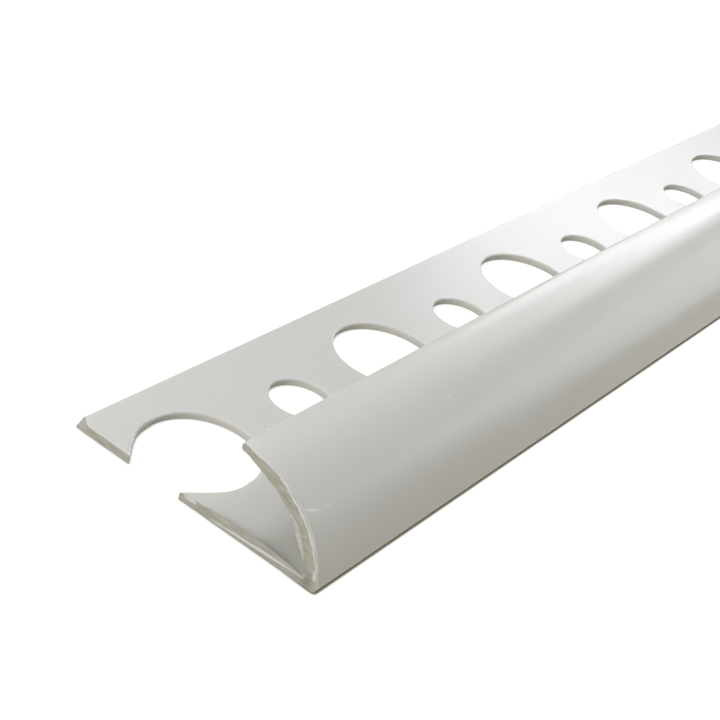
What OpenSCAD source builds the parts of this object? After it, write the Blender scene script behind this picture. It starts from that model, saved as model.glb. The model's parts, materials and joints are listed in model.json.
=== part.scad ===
// Tile edge trim: one length of extruded white plastic.
// A flat leg with a row of punched holes is bedded under the tiles. A quarter-round wall rises
// from the leg's outer edge and curls back over it to a free edge, which covers the tile's edge.
// Frame: X across the section with the round wall at +X, Y along the length with the sawn end
// at -Y, Z up from the leg's underside. All sizes in millimetres.

/* [Stock] */
// Length that the trim is sold in
stock_l = 2500; // [200:10:3000]

/* [Section] */
// Overall width, from the leg's thin edge to the foot of the round wall
section_w = 30; // [28:0.5:40]
// Thickness of the flat leg
leg_t = 0.9; // [0.7:0.1:1.6]
// Radius of the round wall's outside
round_r = 10.4; // [9:0.1:12]
// Depth of the round wall's centre below the leg's underside
round_drop = 0.9; // [0:0.1:1.5]
// Thickness of the round wall at its top
wall_top = 0.8; // [0.6:0.1:1.4]
// Thickness of the round wall at its foot
wall_foot = 1.3; // [1:0.1:1.8]
// Reach of the round wall back over the leg, from its foot to its free edge
lip_reach = 12; // [8:0.1:13]

/* [Holes] */
// Diameter of the large punched holes
large_d = 12; // [8:0.1:14]
// Diameter of the small punched holes between them
small_d = 6.7; // [3:0.1:8]
// Distance from one large hole to the next
hole_pitch = 32.4; // [26:0.1:60]
// Distance of the row of holes from the leg's thin edge
row_x = 10.25; // [9:0.05:11]
// Distance of the first large hole's centre from the sawn end
first_y = 7.1; // [6:0.1:9]
// Least distance from a hole's rim to the far end
end_land = 4; // [2:0.5:20]

/* [Sawn end] */
// Width, at the sawn end, of the gap torn open into the first hole
torn_w = 6.3; // [2:0.1:8]
// Distance that the torn rim is drawn from the hole towards the sawn end
torn_draw = 0.8; // [0.2:0.1:1.5]
// Distance that the torn rim is wider than the hole, on each side
torn_spread = 0.1; // [0.05:0.05:0.3]

/* [Hidden] */
$fn = 96;
// Cutters run past the faces they cut by this much
cut_past = 1;
// The outside circle passes through the foot, at the leg's underside
round_x = section_w - sqrt(pow(round_r, 2) - pow(round_drop, 2));
// The inside circle is set towards the leg, so that the wall thickens to its foot
inside_x = round_x - (wall_foot - wall_top);
// Large and small holes take turns, half a pitch apart
hole_step = hole_pitch / 2;
hole_n = floor((stock_l - first_y - large_d / 2 - end_land) / hole_step) + 1;
// The torn rim is round, and the gap's sides run straight to it from the sawn end. They meet it
// just past the point where they would only touch it
torn_r = large_d / 2 + torn_spread;
torn_y = first_y - torn_draw;
mouth_far = sqrt(pow(torn_w / 2, 2) + pow(torn_y, 2));
meet_past = 4;
meet_angle = atan2(torn_w / 2, torn_y) + acos(min(1, torn_r / mouth_far)) + meet_past;
trim_white = [0.86, 0.86, 0.83];

// Round head of the section, solid, kept above the underside and outside the free edge
module head_section() {
    intersection() {
        translate([round_x, -round_drop])
            circle(r = round_r);
        translate([section_w - lip_reach, 0])
            square([lip_reach + cut_past, round_r]);
    }
}

// Space between the leg and the round wall, open at the free edge
module channel_section() {
    intersection() {
        translate([inside_x, -round_drop])
            circle(r = round_r - wall_top);
        translate([0, leg_t])
            square([section_w, round_r]);
    }
}

// Section of the extrusion: the leg runs under the head, and the channel is cut out above it
module trim_section() {
    difference() {
        union() {
            square([round_x, leg_t]);
            head_section();
        }
        channel_section();
    }
}

// One punched hole through the leg
module punched_hole(hole_d) {
    translate([0, 0, -cut_past])
        cylinder(d = hole_d, h = leg_t + 2 * cut_past);
}

// Row of holes along the leg, large first
module hole_row() {
    for (i = [0 : hole_n - 1])
        translate([row_x, first_y + i * hole_step, 0])
            punched_hole(i % 2 == 0 ? large_d : small_d);
}

// Gap that the saw tore through the thin bridge in front of the first hole
module torn_gap() {
    meet_x = torn_r * sin(meet_angle);
    meet_y = torn_y - torn_r * cos(meet_angle);
    translate([row_x, 0, -cut_past])
        linear_extrude(leg_t + 2 * cut_past) {
            translate([0, torn_y])
                circle(r = torn_r);
            polygon([
                [-torn_w / 2, -cut_past],
                [torn_w / 2, -cut_past],
                [torn_w / 2, 0],
                [meet_x, meet_y],
                [-meet_x, meet_y],
                [-torn_w / 2, 0]
            ]);
        }
}

module trim_profile() {
    color(trim_white)
        translate([-section_w / 2, -stock_l / 2, 0])
            difference() {
                translate([0, stock_l, 0])
                    rotate([90, 0, 0])
                        linear_extrude(stock_l)
                            trim_section();
                hole_row();
                torn_gap();
            }
}

trim_profile();
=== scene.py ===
"""Tile edge trim: looks of one sawn length of white plastic trim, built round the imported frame."""
import json
import math
import random

import bmesh
import bpy
from bpy.props import FloatProperty, FloatVectorProperty, IntProperty, PointerProperty
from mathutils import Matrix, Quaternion, Vector, noise


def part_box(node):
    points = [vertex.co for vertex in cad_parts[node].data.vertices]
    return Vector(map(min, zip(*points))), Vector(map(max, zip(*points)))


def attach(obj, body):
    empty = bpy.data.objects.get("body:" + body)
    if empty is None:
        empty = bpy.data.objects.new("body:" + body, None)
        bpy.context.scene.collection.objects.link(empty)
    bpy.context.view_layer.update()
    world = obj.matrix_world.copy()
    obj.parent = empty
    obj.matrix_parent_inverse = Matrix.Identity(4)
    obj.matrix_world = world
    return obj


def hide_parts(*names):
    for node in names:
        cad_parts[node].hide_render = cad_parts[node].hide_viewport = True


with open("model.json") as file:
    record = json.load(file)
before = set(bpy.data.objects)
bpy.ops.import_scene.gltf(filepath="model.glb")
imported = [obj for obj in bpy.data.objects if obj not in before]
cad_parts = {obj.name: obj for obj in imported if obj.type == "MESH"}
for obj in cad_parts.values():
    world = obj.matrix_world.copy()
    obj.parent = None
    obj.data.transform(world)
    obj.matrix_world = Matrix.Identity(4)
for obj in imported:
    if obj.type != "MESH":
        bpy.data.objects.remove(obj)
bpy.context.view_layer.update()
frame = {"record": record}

bl_info = {
    "name": "Tile Edge Trim",
    "version": (1, 0, 0),
    "blender": (4, 5, 0),
    "location": "View3D > Sidebar > Trim",
    "description": "Builds a sawn length of perforated quarter-round tile trim and its stage",
    "category": "Add Mesh",
}

MM = 0.001
CAD_NODE = "trim_profile"
LOW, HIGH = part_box(CAD_NODE)

# The record's first stated pair of holes gives the row's place, step and sizes
MOUNTS = {mount["name"]: mount for mount in frame["record"]["mounts"]}
LARGE = MOUNTS["large_hole_1"]
SMALL = MOUNTS["small_hole_1"]
HOLES_BEFORE_LARGE = 2
HOLE_STEP = SMALL["pos_m"][1] - LARGE["pos_m"][1]
FIRST_HOLE_Y = LARGE["pos_m"][1] - HOLES_BEFORE_LARGE * HOLE_STEP

# Vertices that the joined lengths share are this close
WELD = 0.004 * MM

# Faces that meet at less than this angle are shaded as one curve
SMOOTH_ANGLE = math.radians(40)

# Material slots of the trim's length that follow its skin
SAWN_SLOT = 1
# The holes' walls: whitened by the shear, and lighter still as painted bounce light
WHITENED_AND_PAINTED_LIGHT_SLOT = 2

# How strongly rigid PVC bends light
PVC_IOR = 1.53


def linear(hex_colour):
    """An sRGB hex colour as linear red, green and blue."""
    parts = [int(hex_colour[i:i + 2], 16) / 255 for i in (0, 2, 4)]
    return tuple(c / 12.92 if c <= 0.04045 else ((c + 0.055) / 1.055) ** 2.4 for c in parts)


def length_of(label, text, value):
    """A length property, in metres."""
    return FloatProperty(name=label, description=text, default=value, min=0, precision=5, unit="LENGTH")


def colour_of(label, text, hex_colour):
    """A colour property, from an sRGB hex colour."""
    return FloatVectorProperty(name=label, description=text, default=linear(hex_colour), size=3, min=0, max=1,
                               subtype="COLOR")


class TrimSizes(bpy.types.PropertyGroup):
    """Sizes of the extruded section and its row of holes"""
    leg_t: length_of("Leg thickness", "Thickness of the flat leg", LARGE["dims"]["length_mm"] * MM)
    round_r: length_of("Round radius", "Radius of the round wall's outside", 10.4 * MM)
    round_drop: length_of("Round drop", "Depth of the round wall's centre below the underside", 0.9 * MM)
    wall_top: length_of("Wall at the top", "Thickness of the round wall at its top", 0.8 * MM)
    wall_foot: length_of("Wall at the foot", "Thickness of the round wall at its foot", 1.3 * MM)
    lip_reach: length_of("Lip reach", "Reach of the round wall back over the leg", 12.0 * MM)
    edge_round: length_of("Thin edge", "Rounding of the leg's thin edge at its top", 0.25 * MM)
    edge_under: length_of("Thin edge, under", "Rounding of the leg's thin edge at its underside", 0.08 * MM)
    foot_round: length_of("Foot", "Rounding of the foot of the round wall", 0.4 * MM)
    lip_round: length_of("Free edge", "Rounding of the free edge's corners", 0.3 * MM)
    root_round: length_of("Channel root", "Fillet where the wall leaves the leg", 0.3 * MM)
    large_r: length_of("Large hole", "Radius of the large punched holes", LARGE["dims"]["r_mm"] * MM)
    small_r: length_of("Small hole", "Radius of the small punched holes", SMALL["dims"]["r_mm"] * MM)
    rim_roll: length_of("Rolled rim", "Rounding that the punch leaves on a hole's upper rim", 0.28 * MM)
    break_out: length_of("Break-out", "Distance that a punched hole widens to the underside", 0.24 * MM)
    arc_steps: IntProperty(
        name="Arc steps", description="Steps along each side of the round wall", default=44, min=8)


class SawnEndSizes(bpy.types.PropertyGroup):
    """Sizes of the sawn end and its damage"""
    torn_w: length_of("Torn gap", "Width of the gap torn open into the first hole", 6.3 * MM)
    torn_draw: length_of("Torn rim drawn", "Distance that the torn rim is drawn to the sawn end", 0.8 * MM)
    torn_spread: length_of("Torn rim spread", "Distance that the torn rim is wider than the hole", 0.1 * MM)
    stroke_gap: length_of("Saw strokes", "Distance from one saw stroke to the next", 0.3 * MM)
    roughness: length_of("Saw roughness", "Depth of the saw's marks", 0.12 * MM)
    reach: length_of("Reach", "Length of the end that the saw disturbed", 2.0 * MM)
    chip_d: length_of("Chip depth", "Depth of the chip out of the free edge's corner", 0.85 * MM)
    chip_w: length_of("Chip width", "Width of the chip out of the free edge's corner", 2.2 * MM)
    worn_d: length_of("Wear depth", "Depth of the wear on the leg's upper outer corner", 1.1 * MM)
    worn_w: length_of("Wear width", "Width of the wear on the leg's upper outer corner", 1.3 * MM)
    burr_t: length_of("Burr thickness", "Thickness of the burrs that the saw left", 0.09 * MM)
    fringe: length_of("Fringe", "Width of the whitened fringe on the round wall's outer edge", 0.3 * MM)
    inner_burr: length_of("Inner burr", "Most that the burr hangs into the channel from the wall", 0.38 * MM)
    leg_burr: length_of("Leg burr", "Most that the burr stands up from the leg", 0.55 * MM)
    # A whitened strip along this line paints the highlight that the ledge's top catches
    ledge: length_of("Ledge", "Height of the ledge that the last strokes left on the leg's end", 0.2 * MM)


class TrimColours(bpy.types.PropertyGroup):
    """Colours of the plastic and the stage"""
    plastic: colour_of("Plastic", "Extruded skin", "DEDEDC")
    plastic_warm: colour_of("Plastic, warm", "Patches of the skin that are yellower", "DAD9D2")
    # Darker than the skin: partly the rough cut's own tone, partly painted shade of the end that faces away
    # from the lamps
    sawn: colour_of("Sawn face", "Plastic where the saw left it rough", "CECDC2")
    # Painted shade: darker in the saw marks' hollows, where the bump is lowest
    sawn_hollow_shade: colour_of("Saw marks", "Bottoms of the saw's marks", "B9B8AC")
    # A darker, browner patch on the sawn face at the foot of the round wall
    foot_darkening: colour_of("Grime", "Dirt that the saw left at the foot of the round wall", "857A6E")
    # Also used as painted light on the holes' walls and on the sawn end's ledge
    whitened_and_painted_light: colour_of("Whitened", "Plastic that was bent or scraped until it went white", "F2F3F0")
    floor: colour_of("Floor", "Pale floor", "968C66")


def add_node(tree, kind, settings, inputs):
    """Adds a node with its settings, and sets or links its inputs."""
    made = tree.nodes.new(kind)
    for name, value in settings.items():
        setattr(made, name, value)
    for name, value in inputs.items():
        if isinstance(value, bpy.types.NodeSocket):
            tree.links.new(value, made.inputs[name])
        else:
            made.inputs[name].default_value = value
    return made


def new_material(name):
    """An empty node material and its tree."""
    material = bpy.data.materials.new(name)
    material.use_nodes = True
    material.node_tree.nodes.clear()
    return material, material.node_tree


def rgba(colour):
    """A colour property as a socket takes it."""
    return (*colour, 1.0)


# Scrapes near the sawn end: angle round the wall and distance from the end, then length, width and slant
SCRAPES = (
    (48.5, 1.3, 3.0, 0.42, -21),
    (46.5, 3.6, 0.9, 0.2, -5),
    (61.8, 27.2, 0.3, 0.75, 0),
    (97.5, 4.4, 0.5, 0.25, 0),
)


def scrape_mask(tree, place, section):
    """1 inside each scrape and 0 outside them all, with ragged edges."""
    sizes = section.sizes
    mask = 0.0
    for turn, along, length, width, slant in SCRAPES:
        out = Vector((math.cos(math.radians(turn)), 0, math.sin(math.radians(turn))))
        middle = Vector((section.outer[0], LOW.y + along * MM, section.outer[1])) + sizes.round_r * out
        local = add_node(tree, "ShaderNodeMapping", {"vector_type": "TEXTURE"}, {
            "Vector": place, "Location": middle, "Rotation": Quaternion(out, math.radians(slant)).to_euler(),
            "Scale": (width / 2 * MM, length / 2 * MM, width / 2 * MM)})
        spot = add_node(tree, "ShaderNodeTexGradient", {"gradient_type": "SPHERICAL"}, {
            "Vector": local.outputs["Vector"]})
        mask = add_node(tree, "ShaderNodeMath", {"operation": "MAXIMUM"}, {
            0: mask, 1: spot.outputs["Fac"]}).outputs["Value"]
    # Ragged edges, about 0.2 mm from tooth to tooth
    teeth = add_node(tree, "ShaderNodeTexNoise", {}, {
        "Vector": place, "Scale": 1 / (0.2 * MM), "Detail": 4.0, "Roughness": 0.7})
    torn = add_node(tree, "ShaderNodeMath", {"operation": "MULTIPLY"}, {0: mask, 1: teeth.outputs["Fac"]})
    return add_node(tree, "ShaderNodeMapRange", {}, {
        "Value": torn.outputs["Value"], "From Min": 0.05, "From Max": 0.4, "To Max": 0.8}).outputs["Result"]


# Rigid PVC, extruded: a semi-gloss skin that lets a little light in, with faint die lines along the length,
# slow drifts of tint and a few whitened scrapes
def extruded_pvc(colours, section):
    material, tree = new_material("rigid_pvc_extruded")
    place = add_node(tree, "ShaderNodeTexCoord", {}, {}).outputs["Object"]
    drift = add_node(tree, "ShaderNodeTexNoise", {}, {
        "Vector": place, "Scale": 1 / (18 * MM), "Detail": 2.0})
    tint = add_node(tree, "ShaderNodeMix", {"data_type": "RGBA"}, {
        "Factor": drift.outputs["Fac"], "A": rgba(colours.plastic), "B": rgba(colours.plastic_warm)})
    scraped = scrape_mask(tree, place, section)
    colour = add_node(tree, "ShaderNodeMix", {"data_type": "RGBA"}, {
        "Factor": scraped, "A": tint.outputs["Result"], "B": rgba(colours.whitened_and_painted_light)})
    # Die lines: about 0.5 mm apart round the section, and a metre long
    drawn = add_node(tree, "ShaderNodeMapping", {}, {"Vector": place, "Scale": (1.0, 0.0005, 1.0)})
    lines = add_node(tree, "ShaderNodeTexNoise", {}, {
        "Vector": drawn.outputs["Vector"], "Scale": 1 / (0.5 * MM), "Detail": 3.0})
    # Skin: soft ripples about 1.5 mm across
    skin = add_node(tree, "ShaderNodeTexNoise", {}, {
        "Vector": place, "Scale": 1 / (1.5 * MM), "Detail": 2.0})
    relief = add_node(tree, "ShaderNodeMath", {"operation": "ADD"}, {
        0: lines.outputs["Fac"], 1: skin.outputs["Fac"]})
    raised = add_node(tree, "ShaderNodeMath", {"operation": "MULTIPLY_ADD"}, {
        0: scraped, 1: 4.0, 2: relief.outputs["Value"]})
    bump = add_node(tree, "ShaderNodeBump", {}, {
        "Height": raised.outputs["Value"], "Strength": 0.15, "Distance": 0.02 * MM})
    gloss = add_node(tree, "ShaderNodeMapRange", {}, {
        "Value": lines.outputs["Fac"], "To Min": 0.19, "To Max": 0.27})
    dulled = add_node(tree, "ShaderNodeMath", {"operation": "MULTIPLY_ADD"}, {
        0: scraped, 1: 0.3, 2: gloss.outputs["Result"]})
    shader = add_node(tree, "ShaderNodeBsdfPrincipled", {}, {
        "Base Color": colour.outputs["Result"], "Roughness": dulled.outputs["Value"], "IOR": PVC_IOR,
        "Subsurface Weight": 1.0, "Subsurface Radius": (1.0, 1.0, 0.9), "Subsurface Scale": 0.9 * MM,
        "Normal": bump.outputs["Normal"]})
    add_node(tree, "ShaderNodeOutputMaterial", {}, {"Surface": shader.outputs["BSDF"]})
    return material


# Rigid PVC, sawn: torn grain along the strokes, dull, darker partly as painted shade, with painted shade in
# the marks' hollows
def sawn_pvc(colours, sawn):
    material, tree = new_material("rigid_pvc_sawn")
    place = add_node(tree, "ShaderNodeTexCoord", {}, {}).outputs["Object"]
    strokes = add_node(tree, "ShaderNodeMapping", {}, {"Vector": place, "Scale": (0.2, 1.0, 1.0)})
    grain = add_node(tree, "ShaderNodeTexNoise", {}, {
        "Vector": strokes.outputs["Vector"], "Scale": 1 / sawn.stroke_gap, "Detail": 4.0})
    # Painted shade: the marks darken where the grain's bump is lowest
    marks = add_node(tree, "ShaderNodeMapRange", {}, {
        "Value": grain.outputs["Fac"], "From Min": 0.35, "From Max": 0.65})
    tint = add_node(tree, "ShaderNodeMix", {"data_type": "RGBA"}, {
        "Factor": marks.outputs["Result"], "A": rgba(colours.sawn_hollow_shade), "B": rgba(colours.sawn)})
    # A darker, browner patch at the foot of the round wall, about 2 mm across
    foot = add_node(tree, "ShaderNodeMapping", {"vector_type": "TEXTURE"}, {
        "Vector": place, "Location": (HIGH.x - 1.2 * MM, LOW.y, 0.7 * MM),
        "Scale": (0.8 * MM, 1.0 * MM, 1.3 * MM)})
    near_foot = add_node(tree, "ShaderNodeTexGradient", {"gradient_type": "SPHERICAL"}, {
        "Vector": foot.outputs["Vector"]})
    darkened = add_node(tree, "ShaderNodeMath", {"operation": "MULTIPLY"}, {0: near_foot.outputs["Fac"], 1: 0.7})
    colour = add_node(tree, "ShaderNodeMix", {"data_type": "RGBA"}, {
        "Factor": darkened.outputs["Value"], "A": tint.outputs["Result"], "B": rgba(colours.foot_darkening)})
    bump = add_node(tree, "ShaderNodeBump", {}, {
        "Height": grain.outputs["Fac"], "Strength": 0.3, "Distance": 0.05 * MM})
    shader = add_node(tree, "ShaderNodeBsdfPrincipled", {}, {
        "Base Color": colour.outputs["Result"], "Roughness": 0.75, "IOR": PVC_IOR,
        "Normal": bump.outputs["Normal"]})
    add_node(tree, "ShaderNodeOutputMaterial", {}, {"Surface": shader.outputs["BSDF"]})
    return material


# Rigid PVC, whitened: bent and scraped edges scatter more light and lose their gloss
# It also paints light on the holes' walls and on the sawn end's ledge
def whitened_and_painted_light_pvc(colours):
    material, tree = new_material("rigid_pvc_whitened")
    place = add_node(tree, "ShaderNodeTexCoord", {}, {}).outputs["Object"]
    flecks = add_node(tree, "ShaderNodeTexNoise", {}, {
        "Vector": place, "Scale": 1 / (0.4 * MM), "Detail": 2.0})
    tint = add_node(tree, "ShaderNodeMix", {"data_type": "RGBA"}, {
        "Factor": flecks.outputs["Fac"], "A": rgba(colours.whitened_and_painted_light), "B": rgba(colours.plastic)})
    shader = add_node(tree, "ShaderNodeBsdfPrincipled", {}, {
        "Base Color": tint.outputs["Result"], "Roughness": 0.6, "IOR": PVC_IOR})
    add_node(tree, "ShaderNodeOutputMaterial", {}, {"Surface": shader.outputs["BSDF"]})
    return material


def make_active(piece):
    """Selects one piece alone and makes it active."""
    bpy.ops.object.select_all(action="DESELECT")
    piece.select_set(True)
    bpy.context.view_layer.objects.active = piece


def pick(piece, kind, test):
    """Selects, in edit mode, the vertices, edges or faces that pass a test, and counts them."""
    bpy.ops.mesh.select_mode(type=kind)
    bpy.ops.mesh.select_all(action="DESELECT")
    mesh = bmesh.from_edit_mesh(piece.data)
    parts = {"VERT": mesh.verts, "EDGE": mesh.edges, "FACE": mesh.faces}[kind]
    chosen = [part for part in parts if test(part)]
    for part in chosen:
        part.select_set(True)
    mesh.select_flush_mode()
    bmesh.update_edit_mesh(piece.data)
    return len(chosen)


def name_piece(piece, name):
    """Gives a piece and its mesh one name."""
    piece.name = name
    piece.data.name = name


def turn_outward():
    """Turns all faces of the piece in edit mode outward, and goes back to object mode."""
    bpy.ops.mesh.select_all(action="SELECT")
    bpy.ops.mesh.normals_make_consistent(inside=False)
    bpy.ops.object.mode_set(mode="OBJECT")


def apply_modifier(piece, kind, settings):
    """Adds a modifier with its settings to the active piece, and applies it."""
    bpy.ops.object.modifier_add(type=kind)
    modifier = piece.modifiers[-1]
    for name, value in settings.items():
        setattr(modifier, name, value)
    bpy.ops.object.modifier_apply(modifier=modifier.name)


class Pen:
    """Draws an outline in edit mode, as one chain of edges that goes on from its last vertex."""

    def __init__(self, name, start, axis):
        side = MM
        self.at = Vector(start)
        self.axis = Vector(axis)
        bpy.ops.object.select_all(action="DESELECT")
        bpy.ops.mesh.primitive_plane_add(size=side, location=self.at + Vector((side / 2, side / 2, 0)))
        self.piece = bpy.context.object
        name_piece(self.piece, name)
        bpy.ops.object.transform_apply(location=True, rotation=True, scale=True)
        bpy.ops.object.mode_set(mode="EDIT")
        pick(self.piece, "VERT", lambda v: (v.co - self.at).length > WELD)
        bpy.ops.mesh.delete(type="VERT")
        pick(self.piece, "VERT", lambda v: True)

    def line(self, to):
        to = Vector(to)
        bpy.ops.mesh.extrude_vertices_move(TRANSFORM_OT_translate={"value": to - self.at})
        self.at = to

    def arc(self, centre, sweep, steps):
        """Turns about a centre by an angle, positive for a right-hand turn about the axis."""
        centre = Vector(centre)
        bpy.ops.mesh.spin(steps=steps, angle=-sweep, center=centre, axis=self.axis)
        mesh = bmesh.from_edit_mesh(self.piece.data)
        self.at = next(v.co.copy() for v in mesh.verts if v.select)

    def close(self):
        """Fills the closed outline with one face."""
        pick(self.piece, "VERT", lambda v: len(v.link_edges) == 1)
        bpy.ops.mesh.edge_face_add()
        bpy.ops.mesh.select_all(action="SELECT")
        bpy.ops.mesh.edge_face_add()


def angle_of(point, centre):
    """Angle of a section point round a centre, from +X towards +Z."""
    return math.atan2(point[1] - centre[1], point[0] - centre[0])


class Section:
    """The trim's section: places in X and Z of the circles that its outline follows."""

    def __init__(self, sizes):
        self.sizes = sizes
        reach = math.sqrt(sizes.round_r ** 2 - sizes.round_drop ** 2)
        self.outer = (HIGH.x - reach, -sizes.round_drop)
        self.inner = (self.outer[0] - (sizes.wall_foot - sizes.wall_top), -sizes.round_drop)
        self.inner_r = sizes.round_r - sizes.wall_top
        self.lip_x = HIGH.x - sizes.lip_reach
        self.foot = self.level(self.outer, sizes.round_r - sizes.foot_round, sizes.foot_round)
        self.root = self.level(self.inner, self.inner_r - sizes.root_round, sizes.leg_t + sizes.root_round)
        lip = self.lip_x + sizes.lip_round
        self.lip_top = self.upright(self.outer, sizes.round_r - sizes.lip_round, lip)
        self.lip_low = self.upright(self.inner, self.inner_r + sizes.lip_round, lip)

    @staticmethod
    def level(circle, radius, z):
        """Point of a circle at a height, on its +X side."""
        return (circle[0] + math.sqrt(radius ** 2 - (z - circle[1]) ** 2), z)

    @staticmethod
    def upright(circle, radius, x):
        """Point of a circle at a place across the section, on its upper side."""
        return (x, circle[1] + math.sqrt(radius ** 2 - (x - circle[0]) ** 2))

    def draw(self, name, y):
        """Draws and fills the section at a place along the length."""
        s = self.sizes
        quarter = math.pi / 2
        edge_steps, foot_steps, corner_steps = 3, 5, 4

        def at(point):
            return (point[0], y, point[1])

        edge_x = LOW.x + s.edge_round
        under_x = LOW.x + s.edge_under
        foot_angle = angle_of(self.foot, self.outer)
        lip_angle = angle_of(self.lip_top, self.outer)
        inner_angle = angle_of(self.lip_low, self.inner)
        root_angle = angle_of(self.root, self.inner)
        pen = Pen(name, at((edge_x, s.leg_t)), (0, -1, 0))
        pen.arc(at((edge_x, s.leg_t - s.edge_round)), quarter, edge_steps)
        pen.line(at((LOW.x, s.edge_under)))
        pen.arc(at((under_x, s.edge_under)), quarter, edge_steps)
        pen.line(at((self.foot[0], 0)))
        pen.arc(at(self.foot), quarter + foot_angle, foot_steps)
        pen.arc(at(self.outer), lip_angle - foot_angle, s.arc_steps)
        pen.arc(at(self.lip_top), math.pi - lip_angle, corner_steps)
        pen.line(at((self.lip_x, self.lip_low[1])))
        pen.arc(at(self.lip_low), inner_angle, corner_steps)
        pen.arc(at(self.inner), root_angle - inner_angle, s.arc_steps)
        pen.arc(at(self.root), -quarter - root_angle, corner_steps)
        pen.close()
        return pen.piece


def cut_away(piece, cutter):
    """Takes one solid out of another."""
    make_active(piece)
    apply_modifier(piece, "BOOLEAN", {"operation": "DIFFERENCE", "solver": "EXACT", "object": cutter})
    bpy.data.objects.remove(cutter)


def punch_hole(run, sizes, y, radius):
    """Punches one hole through the leg, wider at the underside, where the plastic broke out."""
    # A larger hole takes more sides, so that its rim looks as round
    sides = 8 * math.ceil(radius / MM) + 16
    # The punch stands out of the leg by the leg's thickness above and below, and its taper goes on there
    bpy.ops.object.select_all(action="DESELECT")
    bpy.ops.mesh.primitive_cone_add(
        vertices=sides, radius1=radius + 2 * sizes.break_out, radius2=radius - sizes.break_out,
        depth=3 * sizes.leg_t, location=(LARGE["pos_m"][0], y, sizes.leg_t / 2))
    cut_away(run, bpy.context.object)


def tear_open(run, sizes, sawn):
    """Opens the first hole to the sawn end, where the saw tore the thin bridge away."""
    x = LARGE["pos_m"][0]
    below = -sizes.leg_t
    front = LOW.y - sizes.leg_t
    half = sawn.torn_w / 2
    radius = sizes.large_r + sawn.torn_spread
    middle = (x, FIRST_HOLE_Y - sawn.torn_draw, below)
    # The gap's sides run straight from the sawn end until they touch the torn rim, which is round
    far = math.hypot(half, middle[1] - LOW.y)
    touch = math.atan2(half, middle[1] - LOW.y) + math.acos(radius / far)
    across = radius * math.sin(touch)
    along = middle[1] - radius * math.cos(touch)
    # The torn rim ends just past the hole's widest place, at this angle from the sawn end
    rim_end = math.radians(102)
    sweep = rim_end - touch
    steps = 12
    pen = Pen("torn_gap", (x - half, front, below), (0, 0, 1))
    pen.line((x - half, LOW.y, below))
    pen.line((x - across, along, below))
    pen.arc(middle, -sweep, steps)
    pen.line((2 * x - pen.at.x, pen.at.y, below))
    pen.arc(middle, -sweep, steps)
    pen.line((x + half, LOW.y, below))
    pen.line((x + half, front, below))
    pen.close()
    bpy.ops.mesh.extrude_region_move(TRANSFORM_OT_translate={"value": (0, 0, 3 * sizes.leg_t)})
    turn_outward()
    cut_away(run, pen.piece)


def roll_rims(run, sizes):
    """Rounds the holes' upper rims, as the punch drew them down, and whitens the sheared walls, partly as
    painted light.
    """
    row_x = LARGE["pos_m"][0]
    # Least height of a level face's normal, and greatest height of a wall's normal
    level = 0.9
    upright = 0.4

    def on_rim(edge):
        if len(edge.link_faces) != 2:
            return False
        middle = (edge.verts[0].co + edge.verts[1].co) / 2
        steep = sorted(abs(face.normal.z) for face in edge.link_faces)
        inside = LOW.y + WELD < middle.y < HIGH.y - WELD
        near = abs(middle.x - row_x) < sizes.large_r + MM
        on_top = abs(middle.z - sizes.leg_t) < WELD
        return near and inside and on_top and steep[0] < upright and steep[1] > level

    make_active(run)
    bpy.ops.object.mode_set(mode="EDIT")
    if not pick(run, "EDGE", on_rim):
        raise RuntimeError("no hole rims were found to round")
    for edge in bmesh.from_edit_mesh(run.data).edges:
        if edge.select:
            wall = min(edge.link_faces, key=lambda face: abs(face.normal.z))
            # Painted light: the whitened walls also stand in for the bounce light on them
            wall.material_index = WHITENED_AND_PAINTED_LIGHT_SLOT
    bpy.ops.mesh.bevel(offset=sizes.rim_roll, segments=3, profile=0.5, affect="EDGES")
    bpy.ops.object.mode_set(mode="OBJECT")


def open_end(run, y):
    """Takes away a length's end face, so that it can be welded to the next length."""
    make_active(run)
    bpy.ops.object.mode_set(mode="EDIT")
    if not pick(run, "FACE", lambda face: all(abs(v.co.y - y) < WELD for v in face.verts)):
        raise RuntimeError("no end face was found at the joint")
    bpy.ops.mesh.delete(type="FACE")
    bpy.ops.object.mode_set(mode="OBJECT")


def extrude_length(section, name, start, end, materials):
    """Extrudes the section from one place along the length to another."""
    run = section.draw(name, start)
    for material in materials:
        run.data.materials.append(material)
    bpy.ops.mesh.extrude_region_move(TRANSFORM_OT_translate={"value": (0, end - start, 0)})
    turn_outward()
    return run


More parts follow.
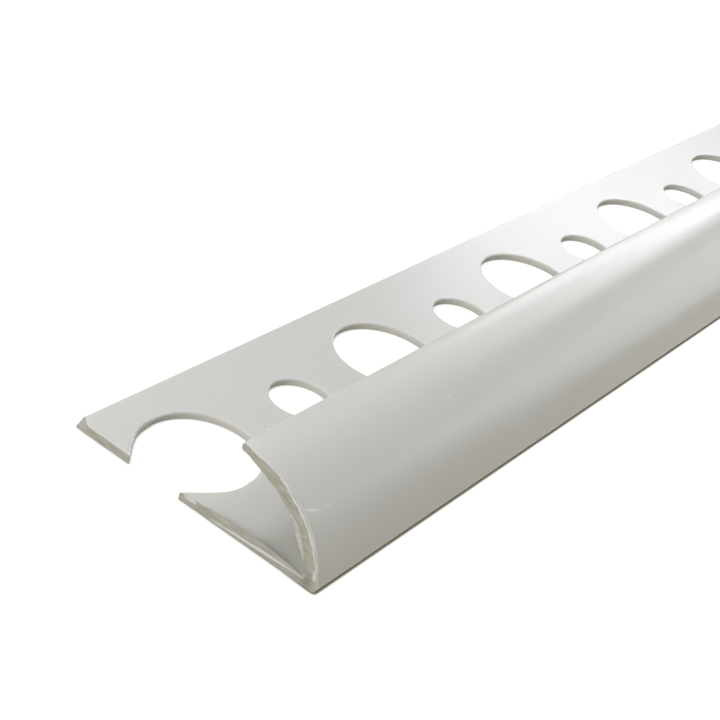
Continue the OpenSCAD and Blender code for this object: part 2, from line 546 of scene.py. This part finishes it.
def make_length(section, sawn, materials):
    """Builds the whole trim: a sawn front, a repeated length with two holes, and a plain tail."""
    sizes = section.sizes
    pitch = 2 * HOLE_STEP
    front_end = FIRST_HOLE_Y + HOLE_STEP / 2
    repeats = int((HIGH.y - front_end) / pitch)
    tail_start = front_end + repeats * pitch

    front = extrude_length(section, "front", LOW.y, front_end, materials)
    punch_hole(front, sizes, FIRST_HOLE_Y, sizes.large_r)
    tear_open(front, sizes, sawn)
    open_end(front, front_end)
    roll_rims(front, sizes)

    middle = extrude_length(section, "middle", front_end, front_end + pitch, materials)
    punch_hole(middle, sizes, FIRST_HOLE_Y + HOLE_STEP, sizes.small_r)
    punch_hole(middle, sizes, FIRST_HOLE_Y + 2 * HOLE_STEP, sizes.large_r)
    open_end(middle, front_end)
    open_end(middle, front_end + pitch)
    roll_rims(middle, sizes)
    apply_modifier(middle, "ARRAY", {
        "count": repeats, "use_relative_offset": False, "use_constant_offset": True,
        "constant_offset_displace": (0, pitch, 0), "use_merge_vertices": True, "merge_threshold": WELD})

    tail = extrude_length(section, "tail", tail_start, HIGH.y, materials)
    punch_hole(tail, sizes, tail_start + HOLE_STEP / 2, sizes.small_r)
    open_end(tail, tail_start)
    roll_rims(tail, sizes)

    saw_end(front, section, sawn)
    make_active(front)
    middle.select_set(True)
    tail.select_set(True)
    bpy.ops.object.join()
    name_piece(front, "trim_length")
    bpy.ops.object.mode_set(mode="EDIT")
    bpy.ops.mesh.select_all(action="SELECT")
    bpy.ops.mesh.remove_doubles(threshold=WELD)
    bpy.ops.object.mode_set(mode="OBJECT")
    bpy.ops.object.shade_smooth_by_angle(angle=SMOOTH_ANGLE)
    apply_modifier(front, "WEIGHTED_NORMAL", {"keep_sharp": True, "weight": 100})
    return front


# The saw's strokes climb towards the round wall by this slope
STROKE_SLOPE = 0.0547

# At the middle of the section, the lowest stroke lies this many strokes below the underside
STROKES_BELOW = 5

# Where the disturbed end is cut across its length, as shares of its reach, and the step of its upright cuts
CUT_SHARES = (0.06, 0.15, 0.3, 0.6, 1.0)
CUT_STEP = 0.5 * MM

# Size of the patches of grain in the sawn face, and the seed of the strokes' depths
GRAIN_SIZE = 0.8 * MM
STROKE_SEED = 11


def saw_end(front, section, sawn):
    """Roughens the sawn end: strokes, a chipped lip and a worn corner."""
    sizes = section.sizes
    make_active(front)
    bpy.ops.object.mode_set(mode="EDIT")
    for share in CUT_SHARES:
        bpy.ops.mesh.select_all(action="SELECT")
        bpy.ops.mesh.bisect(plane_co=(0, LOW.y + share * sawn.reach, 0), plane_no=(0, 1, 0))

    def disturbed(face):
        return face.calc_center_median().y < LOW.y + sawn.reach

    stroke_n = int(HIGH.z / sawn.stroke_gap) + 1
    for k in range(-STROKES_BELOW, stroke_n):
        pick(front, "FACE", disturbed)
        bpy.ops.mesh.bisect(plane_co=(0, LOW.y, k * sawn.stroke_gap), plane_no=(-STROKE_SLOPE, 0, 1))
    for k in range(1, int((HIGH.x - LOW.x) / CUT_STEP)):
        pick(front, "FACE", disturbed)
        bpy.ops.mesh.bisect(plane_co=(LOW.x + k * CUT_STEP, LOW.y, 0), plane_no=(1, 0, 0))

    # The strokes' depths are counted from well below the underside, so that no count is negative
    draw = random.Random(STROKE_SEED)
    marks = [draw.uniform(0.0, 1.0) for _ in range(3 * stroke_n)]
    mesh = bmesh.from_edit_mesh(front.data)
    for face in mesh.faces:
        if all(v.co.y < LOW.y + WELD for v in face.verts):
            face.material_index = SAWN_SLOT
    for vertex in mesh.verts:
        near = 1 - (vertex.co.y - LOW.y) / sawn.reach
        if near <= 0:
            continue
        x, _, z = vertex.co
        # Each stroke and each patch of grain has its own depth
        stroke = (z - STROKE_SLOPE * x) / sawn.stroke_gap
        grain = noise.noise(Vector((x, 0, z)) / GRAIN_SIZE)
        depth = sawn.roughness * (0.8 + 0.5 * marks[int(stroke + stroke_n)] + 0.5 * abs(grain))
        # High above the leg there is only the round wall, whose free edge is chipped and bent down
        if z > 2 * sizes.leg_t:
            chip = max(0, 1 - (x - section.lip_x) / sawn.chip_w)
            depth += sawn.chip_d * chip
            vertex.co.z -= 0.2 * sizes.leg_t * near * chip * chip
        worn = max(0, 1 - (x - LOW.x) / sawn.worn_w)
        depth += sawn.worn_d * worn * min(1, z / sizes.leg_t)
        vertex.co.y += depth * near
    bmesh.update_edit_mesh(front.data)
    bpy.ops.object.mode_set(mode="OBJECT")


def on_arc(circle, radius, start, end, steps, side):
    """Points of the section along a round edge, between two angles, each with the way out of the edge."""
    for k in range(steps + 1):
        turn = math.radians(start + (end - start) * k / steps)
        out = Vector((math.cos(turn), 0, math.sin(turn)))
        yield Vector((circle[0], LOW.y, circle[1])) + radius * out, side * out


def on_line(start, end, steps):
    """Points along a straight edge of the section, from the leg's thin edge, each with the way up from it."""
    first = Vector((LOW.x + start[0], LOW.y, start[1]))
    run = Vector((LOW.x + end[0], LOW.y, end[1])) - first
    up = Vector((-run.z, 0, run.x)).normalized()
    for k in range(steps + 1):
        yield first + run * k / steps, up


def make_strip(name, edge, sawn, material, depth, inset, rise, lean, ragged):
    """A thin, ragged strip on an edge of the sawn end, tapered to both ends and leaning back.

    It lies at a depth in burr thicknesses, and goes by the inset into the edge and by the rise out of it.
    """
    edge = list(edge)
    back = Vector((0, 1, 0))
    least = 0.02 * MM
    tip_back = lean + 0.4 * sawn.burr_t
    # The feet's noise is taken far from the tips' own
    elsewhere = Vector((7, 3, 5))
    feet = []
    tips = []
    for k, (point, out) in enumerate(edge):
        taper = math.sin(math.pi * k / (len(edge) - 1)) ** 0.7
        place = Vector((point.x, point.z, inset))
        wave = noise.noise(place / (1.6 * MM)) + 0.4 * noise.noise(place / (0.5 * MM))
        drop = noise.noise((place + elsewhere) / (1.2 * MM)) + 0.5 * noise.noise(place / (0.4 * MM))
        at = point + depth * sawn.burr_t * back
        feet.append(at - max(least, inset * taper * (1 + ragged * drop)) * out)
        tips.append(at + max(least, rise * taper * (1 + ragged * wave)) * out + tip_back * back)
    pen = Pen(name, feet[0], (0, 1, 0))
    for foot in feet[1:]:
        pen.line(foot)
    bpy.ops.mesh.select_all(action="SELECT")
    bpy.ops.mesh.extrude_edges_move()
    mesh = bmesh.from_edit_mesh(pen.piece.data)
    for vertex in mesh.verts:
        if vertex.select:
            vertex.co = tips[min(range(len(feet)), key=lambda k: (feet[k] - vertex.co).length)]
    bmesh.update_edit_mesh(pen.piece.data)
    bpy.ops.object.mode_set(mode="OBJECT")
    apply_modifier(pen.piece, "SOLIDIFY", {"thickness": sawn.burr_t, "offset": 0})
    pen.piece.data.materials.append(material)
    return pen.piece


def make_burrs(section, sawn, rough, white):
    """Builds the burrs: whitened fringe and flakes, a ledge that is a painted highlight, and dull burrs in
    the channel.
    """
    sizes = section.sizes
    leg_top = sizes.leg_t
    # The flap and the flake lie this far in from the round wall's faces, towards its centre
    inside = 0.25 * MM
    fringe_edge = on_arc(section.outer, sizes.round_r, start=70, end=12, steps=110, side=1)
    inner_edge = on_arc(section.inner, section.inner_r, start=82, end=16, steps=90, side=-1)
    flap_edge = on_arc(section.inner, section.inner_r - inside, start=49, end=22, steps=60, side=-1)
    flake_edge = on_arc(section.outer, sizes.round_r - inside, start=19, end=12, steps=14, side=1)
    leg_edge = on_line((15.3 * MM, leg_top), (28.2 * MM, leg_top), steps=70)
    ledge_highlight_edge = on_line((17.4 * MM, 0.24 * MM), (28.4 * MM, 0.84 * MM), steps=70)
    tip_edge = on_line((14.0 * MM, 0.75 * MM), (15.6 * MM, 0.75 * MM), steps=16)
    strips = [
        make_strip("fringe", fringe_edge, sawn, white, depth=0.5,
                   inset=sawn.fringe, rise=0.05 * MM, lean=0.2 * MM, ragged=0.9),
        make_strip("inner_burr", inner_edge, sawn, rough, depth=1.3,
                   inset=0.15 * MM, rise=sawn.inner_burr, lean=0, ragged=0.4),
        make_strip("inner_flap", flap_edge, sawn, white, depth=0.6,
                   inset=0.15 * MM, rise=0.4 * MM, lean=0.2 * MM, ragged=1.0),
        make_strip("foot_flake", flake_edge, sawn, white, depth=0.5,
                   inset=0.2 * MM, rise=0.2 * MM, lean=0.1 * MM, ragged=0.4),
        make_strip("leg_burr", leg_edge, sawn, rough, depth=1.3,
                   inset=0.1 * MM, rise=sawn.leg_burr, lean=0, ragged=0.25),
        # Painted highlight: the ledge's whitened strip stands for the light that its top catches
        make_strip("ledge", ledge_highlight_edge, sawn, white, depth=0.6,
                   inset=0.06 * MM, rise=sawn.ledge, lean=0.15 * MM, ragged=0.6),
        make_strip("leg_tip", tip_edge, sawn, white, depth=0.6,
                   inset=0.08 * MM, rise=0.16 * MM, lean=0.1 * MM, ragged=0.6),
    ]
    make_active(strips[0])
    for strip in strips:
        strip.select_set(True)
    bpy.ops.object.join()
    burrs = bpy.context.object
    name_piece(burrs, "saw_burrs")
    bpy.ops.object.mode_set(mode="EDIT")
    turn_outward()
    bpy.ops.object.shade_smooth_by_angle(angle=SMOOTH_ANGLE)
    return burrs


def tie_piece(piece):
    """Ties a piece to the frame."""
    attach(piece, "root")


class TRIM_OT_build_length(bpy.types.Operator):
    """Builds the sawn length of trim, with its holes, in place of the plain solid"""
    bl_idname = "trim.build_length"
    bl_label = "Trim length"

    def execute(self, context):
        scene = context.scene
        section = Section(scene.trim_sizes)
        skin = extruded_pvc(scene.trim_colours, section)
        rough = sawn_pvc(scene.trim_colours, scene.sawn_sizes)
        white = whitened_and_painted_light_pvc(scene.trim_colours)
        piece = make_length(section, scene.sawn_sizes, (skin, rough, white))
        tie_piece(piece)
        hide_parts(CAD_NODE)
        return {"FINISHED"}


class TRIM_OT_build_burrs(bpy.types.Operator):
    """Builds the burrs that the saw left on the sawn end"""
    bl_idname = "trim.build_burrs"
    bl_label = "Saw burrs"

    def execute(self, context):
        scene = context.scene
        rough = bpy.data.materials.get("rigid_pvc_sawn")
        white = bpy.data.materials.get("rigid_pvc_whitened")
        if rough is None or white is None:
            raise RuntimeError("build the trim length first: the burrs share its plastics")
        tie_piece(make_burrs(Section(scene.trim_sizes), scene.sawn_sizes, rough, white))
        return {"FINISHED"}


class TRIM_OT_build_stage(bpy.types.Operator):
    """Lays the pale floor and sets the lights, the background and the camera"""
    bl_idname = "trim.build_stage"
    bl_label = "Stage"

    def execute(self, context):
        scene = context.scene
        lay_floor(scene.trim_colours)
        set_lights()
        set_background(scene)
        set_camera(scene)
        scene.view_settings.view_transform = "Standard"
        return {"FINISHED"}


def seen_by_eye(tree):
    """1 for rays from the camera, and for the reflections and refractions that show the background."""
    path = add_node(tree, "ShaderNodeLightPath", {}, {})
    glossy = add_node(tree, "ShaderNodeMath", {"operation": "MAXIMUM"}, {
        0: path.outputs["Is Camera Ray"], 1: path.outputs["Is Glossy Ray"]})
    return add_node(tree, "ShaderNodeMath", {"operation": "MAXIMUM"}, {
        0: glossy.outputs["Value"], 1: path.outputs["Is Transmission Ray"]}).outputs["Value"]


def lay_floor(colours):
    """Pale floor that goes white to the eye but keeps the soft shadow."""
    side = 60
    gap = 0.05 * MM
    bpy.ops.object.select_all(action="DESELECT")
    bpy.ops.mesh.primitive_plane_add(size=side, location=(0, 0, -gap))
    floor = bpy.context.object
    floor.name = "floor"
    bpy.ops.object.transform_apply(location=True, rotation=True, scale=True)
    material, tree = new_material("floor_pale_card")
    card = add_node(tree, "ShaderNodeBsdfDiffuse", {}, {"Color": rgba(colours.floor)})
    # Painted contact shadow: occlusion dims the glow near the object, most along the round wall's foot
    open_sky = add_node(tree, "ShaderNodeAmbientOcclusion", {"samples": 16}, {"Distance": 0.35 * MM})
    place = add_node(tree, "ShaderNodeTexCoord", {}, {}).outputs["Object"]
    across = add_node(tree, "ShaderNodeSeparateXYZ", {}, {"Vector": place})
    contact_shadow_power = add_node(tree, "ShaderNodeMapRange", {}, {
        "Value": across.outputs["X"], "From Min": HIGH.x - 4 * MM, "From Max": HIGH.x,
        "To Min": 0.7, "To Max": 4.0})
    shade = add_node(tree, "ShaderNodeMath", {"operation": "POWER"}, {
        0: open_sky.outputs["AO"], 1: contact_shadow_power.outputs["Result"]})
    glow = add_node(tree, "ShaderNodeEmission", {}, {
        "Color": (0.93, 0.95, 1, 1), "Strength": shade.outputs["Value"]})
    lit = add_node(tree, "ShaderNodeAddShader", {}, {0: card.outputs["BSDF"], 1: glow.outputs["Emission"]})
    mixed = add_node(tree, "ShaderNodeMixShader", {}, {
        0: seen_by_eye(tree), 1: card.outputs["BSDF"], 2: lit.outputs["Shader"]})
    add_node(tree, "ShaderNodeOutputMaterial", {}, {"Surface": mixed.outputs["Shader"]})
    floor.data.materials.append(material)


def add_softbox(name, place, aim, width, height, power, hex_colour):
    """One rectangular softbox, aimed at a point."""
    place = Vector(place)
    turn = (Vector(aim) - place).to_track_quat("-Z", "Y").to_euler()
    bpy.ops.object.light_add(type="AREA", location=place, rotation=turn)
    lamp = bpy.context.object
    lamp.name = name
    lamp.visible_camera = False
    lamp.data.shape = "RECTANGLE"
    lamp.data.size = width
    lamp.data.size_y = height
    lamp.data.energy = power
    lamp.data.color = linear(hex_colour)


def set_lights():
    """A long softbox overhead, a low one in front, and three behind for the sheen on the leg and the wall."""
    white = "FFFFFF"
    cool = "F4F8FF"
    middle = (0, 0, 0)
    near_end = (0, LOW.y + 0.1, 0)
    # Each lamp's name, place and aim, then its width, height, power and colour
    lamps = (
        ("overhead", (-0.75, 0.2, 2.2), middle, 1.6, 4.5, 30, white),
        ("front", (0, LOW.y - 2.2, 1.1), near_end, 1.6, 1.2, 29, white),
        ("behind_leg", (-0.4, LOW.y + 1.43, 0.62), near_end, 0.5, 0.16, 1.6, cool),
        ("behind_top", (-0.14, LOW.y + 1.43, 0.76), near_end, 0.3, 0.2, 0.55, cool),
        ("behind_wall", (1.23, LOW.y + 3.4, 0.8), near_end, 1.9, 1.6, 12, white),
    )
    for lamp in lamps:
        add_softbox(*lamp)


def set_background(scene):
    """White to the eye, and a soft grey surround for the light that it sheds."""
    world = bpy.data.worlds.new("studio")
    scene.world = world
    world.use_nodes = True
    tree = world.node_tree
    tree.nodes.clear()
    strength = add_node(tree, "ShaderNodeMapRange", {}, {
        "Value": seen_by_eye(tree), "To Min": 0.3, "To Max": 1.0})
    sky = add_node(tree, "ShaderNodeBackground", {}, {
        "Color": (1, 1, 1, 1), "Strength": strength.outputs["Result"]})
    add_node(tree, "ShaderNodeOutputWorld", {}, {"Surface": sky.outputs["Background"]})


# Camera of the photograph: a long lens, turned down on the sawn end from its right
CAMERA_PLACE = (66.687 * MM, LOW.y - 108.963 * MM, 95.17 * MM)
CAMERA_TURN = tuple(math.radians(a) for a in (58.478, -15.344, 35.800))
CAMERA_LENS = 84.65


def set_camera(scene):
    """Makes the camera and gives it to the scene."""
    bpy.ops.object.camera_add(location=CAMERA_PLACE, rotation=CAMERA_TURN)
    camera = bpy.context.object
    camera.name = "camera"
    camera.data.sensor_width = 36
    camera.data.lens = CAMERA_LENS
    camera.data.clip_start = 0.01
    scene.camera = camera


class TRIM_PT_builder(bpy.types.Panel):
    """Lists the trim's builders"""
    bl_label = "Tile Edge Trim"
    bl_space_type = "VIEW_3D"
    bl_region_type = "UI"
    bl_category = "Trim"

    def draw(self, context):
        for operator in OPERATORS:
            self.layout.operator(operator.bl_idname)


OPERATORS = (TRIM_OT_build_length, TRIM_OT_build_burrs, TRIM_OT_build_stage)
CLASSES = (TrimSizes, SawnEndSizes, TrimColours, *OPERATORS, TRIM_PT_builder)


def register():
    for made in CLASSES:
        bpy.utils.register_class(made)
    bpy.types.Scene.trim_sizes = PointerProperty(type=TrimSizes)
    bpy.types.Scene.sawn_sizes = PointerProperty(type=SawnEndSizes)
    bpy.types.Scene.trim_colours = PointerProperty(type=TrimColours)


def unregister():
    del bpy.types.Scene.trim_colours
    del bpy.types.Scene.sawn_sizes
    del bpy.types.Scene.trim_sizes
    for made in reversed(CLASSES):
        bpy.utils.unregister_class(made)


def main():
    register()
    bpy.ops.trim.build_length()
    bpy.ops.trim.build_burrs()
    bpy.ops.trim.build_stage()


if __name__ == "__main__":
    main()
